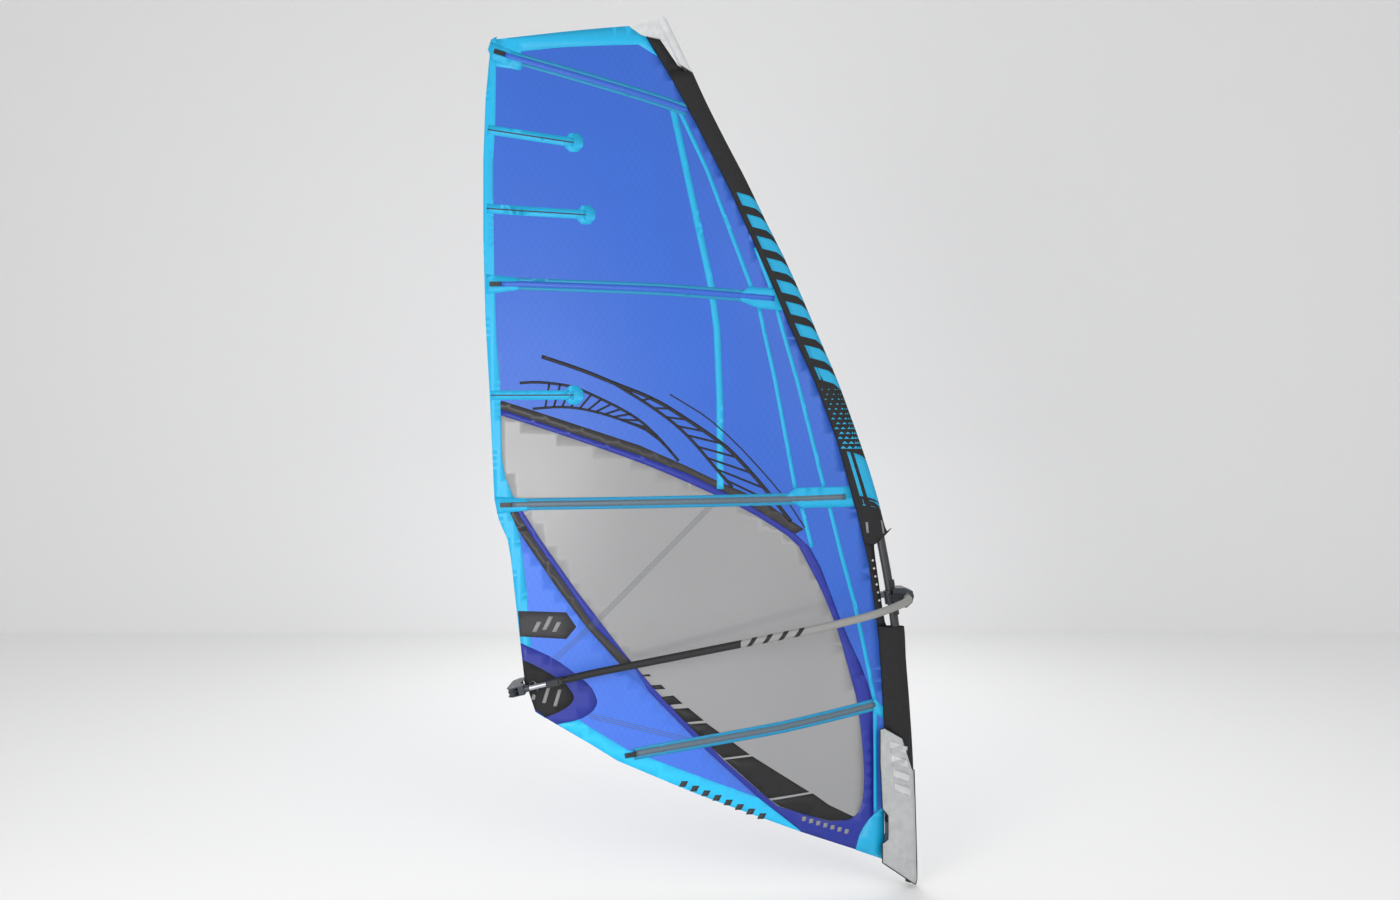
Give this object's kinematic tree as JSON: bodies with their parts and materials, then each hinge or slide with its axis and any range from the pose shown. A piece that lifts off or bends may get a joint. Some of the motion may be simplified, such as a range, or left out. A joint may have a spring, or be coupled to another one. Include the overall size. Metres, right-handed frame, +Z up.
{
  "type": "windsurf sail rig",
  "caption": "Rigged windsurf sail on its mast with a clamp-on wishbone boom, adjustable tail, battens and a mast foot socket.",
  "frame": {"origin": "centre of the mast foot socket's bore, on the mast's axis at its foot", "axes": "+Z up along the mast's foot, the sail in the XZ plane, the leech and the boom's tail towards -X, Y across the sail"},
  "size_m": [1.9497, 0.529, 3.887],
  "materials": {
    "mast_carbon": "satin woven carbon",
    "black_plastic": "moulded",
    "housing_plastic": "moulded",
    "roller_plastic": "ribbed",
    "sheave_plastic": "smooth",
    "aluminium": "anodised",
    "arm_tube": "anodised",
    "grip_foam": "foam",
    "steel": "polished",
    "button_plastic": "smooth",
    "sail_film_blue": "laminated film",
    "sail_light_blue": "laminated film",
    "window_film": "clear film",
    "dark_blue_cloth": "laminated film",
    "dark_grey_cloth": "laminated film",
    "black_cloth": "woven",
    "pocket_cloth": "woven",
    "batten_composite": "glass fibre",
    "cap_plastic": "moulded",
    "line_fibre": "braided"
  },
  "bodies": {
    "rig": {"mast_bottom": "mast_carbon", "mast_top": "mast_carbon", "mast_ferrule": "mast_carbon", "mast_tip_plug": "black_plastic", "leech_tape": "sail_light_blue", "head_panel": "sail_light_blue", "window_panels": "window_film", "window_band": "dark_grey_cloth", "foot_strip": "sail_light_blue", "window_border": "dark_blue_cloth", "clew_panel": "sail_film_blue", "body_panel": "sail_film_blue", "radial_tapes": "sail_light_blue", "batten_patches": "sail_light_blue", "foot_treads": "black_cloth", "clew_patches": "dark_blue_cloth", "corner_patches": "sail_light_blue", "battens": "batten_composite", "batten_pockets": "pocket_cloth", "mini_battens": "sail_light_blue", "tensioner_housings": "black_plastic", "luff_sleeve_upper": "black_cloth", "luff_sleeve_lower": "black_cloth", "head_cap": "cap_plastic", "base_cup": "black_plastic", "extension_tube": "aluminium", "extension_collar": "black_plastic", "pulley_block": "black_plastic", "tack_hook": "black_plastic", "tack_strap": "black_cloth", "pulley_axles": "steel", "tack_fairing": "cap_plastic", "clew_ring": "steel", "downhaul_line": "line_fibre"},
    "head": {"head_housing": "housing_plastic", "clamp_liner": "black_plastic", "clamp_hinge_pin": "steel"},
    "jaw": {"clamp_jaw": "black_plastic"},
    "lever": {"clamp_lever": "black_plastic"},
    "arms": {"boom_arms": "arm_tube", "boom_grips": "grip_foam", "tail_collars": "black_plastic"},
    "clip_left": {"tail_clip_left": "black_plastic"},
    "clip_right": {"tail_clip_right": "black_plastic"},
    "tail": {"tail_extension": "aluminium", "tail_end_fitting": "housing_plastic", "roller_axles": "steel", "outhaul_line": "line_fibre"},
    "roller_left": {"tail_roller_left": "roller_plastic"},
    "roller_right": {"tail_roller_right": "roller_plastic"},
    "button_left": {"release_button_left": "button_plastic"},
    "button_right": {"release_button_right": "button_plastic"},
    "base_sheave_1": {"base_sheave_1": "sheave_plastic"},
    "base_sheave_2": {"base_sheave_2": "sheave_plastic"},
    "tack_sheave_1": {"tack_sheave_1": "sheave_plastic"},
    "tack_sheave_2": {"tack_sheave_2": "sheave_plastic"},
    "screw_1": {"tension_screw_1": "steel"},
    "screw_2": {"tension_screw_2": "steel"},
    "screw_3": {"tension_screw_3": "steel"},
    "screw_4": {"tension_screw_4": "steel"}
  },
  "joints": [
    {"name": "boom_height", "type": "slide", "parent": "rig", "child": "head", "axis": [-0.1527, 0, 0.9883], "range_m": [-0.03, 0.08]},
    {"name": "boom_pitch", "type": "hinge", "parent": "head", "child": "arms", "pos_m": [-0.022, 0, 1.24], "axis": [0, 1, 0], "range_deg": [-3, 2]},
    {"name": "clamp_jaw_swing", "type": "hinge", "parent": "head", "child": "jaw", "pos_m": [-0.08858, 0.036, 1.23969], "axis": [0.1527, 0, -0.9883], "range_deg": [0, 8]},
    {"name": "clamp_lever_swing", "type": "hinge", "parent": "jaw", "child": "lever", "pos_m": [-0.09501, -0.045, 1.2387], "axis": [0.1527, 0, -0.9883], "range_deg": [0, 110]},
    {"name": "tail_slide", "type": "slide", "parent": "arms", "child": "tail", "axis": [-0.9736, 0, -0.2284], "range_m": [0, 0.08], "deforming": ["outhaul_line"]},
    {"name": "tail_clip_left_swing", "type": "hinge", "parent": "arms", "child": "clip_left", "pos_m": [-1.55928, -0.0985, 0.87943], "axis": [-0.2284, 0, 0.9736], "range_deg": [0, 75]},
    {"name": "tail_roller_left_spin", "type": "hinge", "parent": "tail", "child": "roller_left", "pos_m": [-1.77152, -0.062, 0.82965], "axis": [-0.2284, 0, 0.9736], "continuous": true},
    {"name": "tail_clip_right_swing", "type": "hinge", "parent": "arms", "child": "clip_right", "pos_m": [-1.55928, 0.0985, 0.87943], "axis": [0.2284, 0, -0.9736], "range_deg": [0, 75]},
    {"name": "tail_roller_right_spin", "type": "hinge", "parent": "tail", "child": "roller_right", "pos_m": [-1.77152, 0.062, 0.82965], "axis": [-0.2284, 0, 0.9736], "continuous": true},
    {"name": "release_button_left_press", "type": "slide", "parent": "rig", "child": "button_left", "axis": [0, 1, 0], "range_m": [0, 0.003], "stiffness_N_per_m": 400, "springref_m": -0.002},
    {"name": "release_button_right_press", "type": "slide", "parent": "rig", "child": "button_right", "axis": [0, -1, 0], "range_m": [0, 0.003], "stiffness_N_per_m": 400, "springref_m": -0.002},
    {"name": "base_sheave_1_spin", "type": "hinge", "parent": "rig", "child": "base_sheave_1", "pos_m": [-0.05, -0.006, 0.06], "axis": [0, 1, 0], "continuous": true},
    {"name": "base_sheave_2_spin", "type": "hinge", "parent": "rig", "child": "base_sheave_2", "pos_m": [-0.05, 0.006, 0.06], "axis": [0, 1, 0], "continuous": true},
    {"name": "tack_sheave_1_spin", "type": "hinge", "parent": "rig", "child": "tack_sheave_1", "pos_m": [-0.056, -0.006, 0.178], "axis": [0, 1, 0], "continuous": true},
    {"name": "tack_sheave_2_spin", "type": "hinge", "parent": "rig", "child": "tack_sheave_2", "pos_m": [-0.056, 0.006, 0.178], "axis": [0, 1, 0], "continuous": true},
    {"name": "tension_screw_1_turn", "type": "hinge", "parent": "rig", "child": "screw_1", "pos_m": [-1.8682, -0.00573, 3.69176], "axis": [0.9508, 0, -0.3097], "continuous": true},
    {"name": "tension_screw_2_turn", "type": "hinge", "parent": "rig", "child": "screw_2", "pos_m": [-1.889, -0.00577, 2.645], "axis": [1, 0, 0], "continuous": true},
    {"name": "tension_screw_3_turn", "type": "hinge", "parent": "rig", "child": "screw_3", "pos_m": [-1.841, -0.00581, 1.65113], "axis": [0.9995, 0, 0.032], "continuous": true},
    {"name": "tension_screw_4_turn", "type": "hinge", "parent": "rig", "child": "screw_4", "pos_m": [-1.27908, -0.0214, 0.52879], "axis": [0.9801, 0, 0.1985], "continuous": true}
  ],
  "couplings": [
    {"joint": "boom_pitch", "follows": "boom_height", "rad_per_m": -0.56},
    {"joint": "clamp_jaw_swing", "follows": "clamp_lever_swing", "ratio": 0.0727}
  ]
}
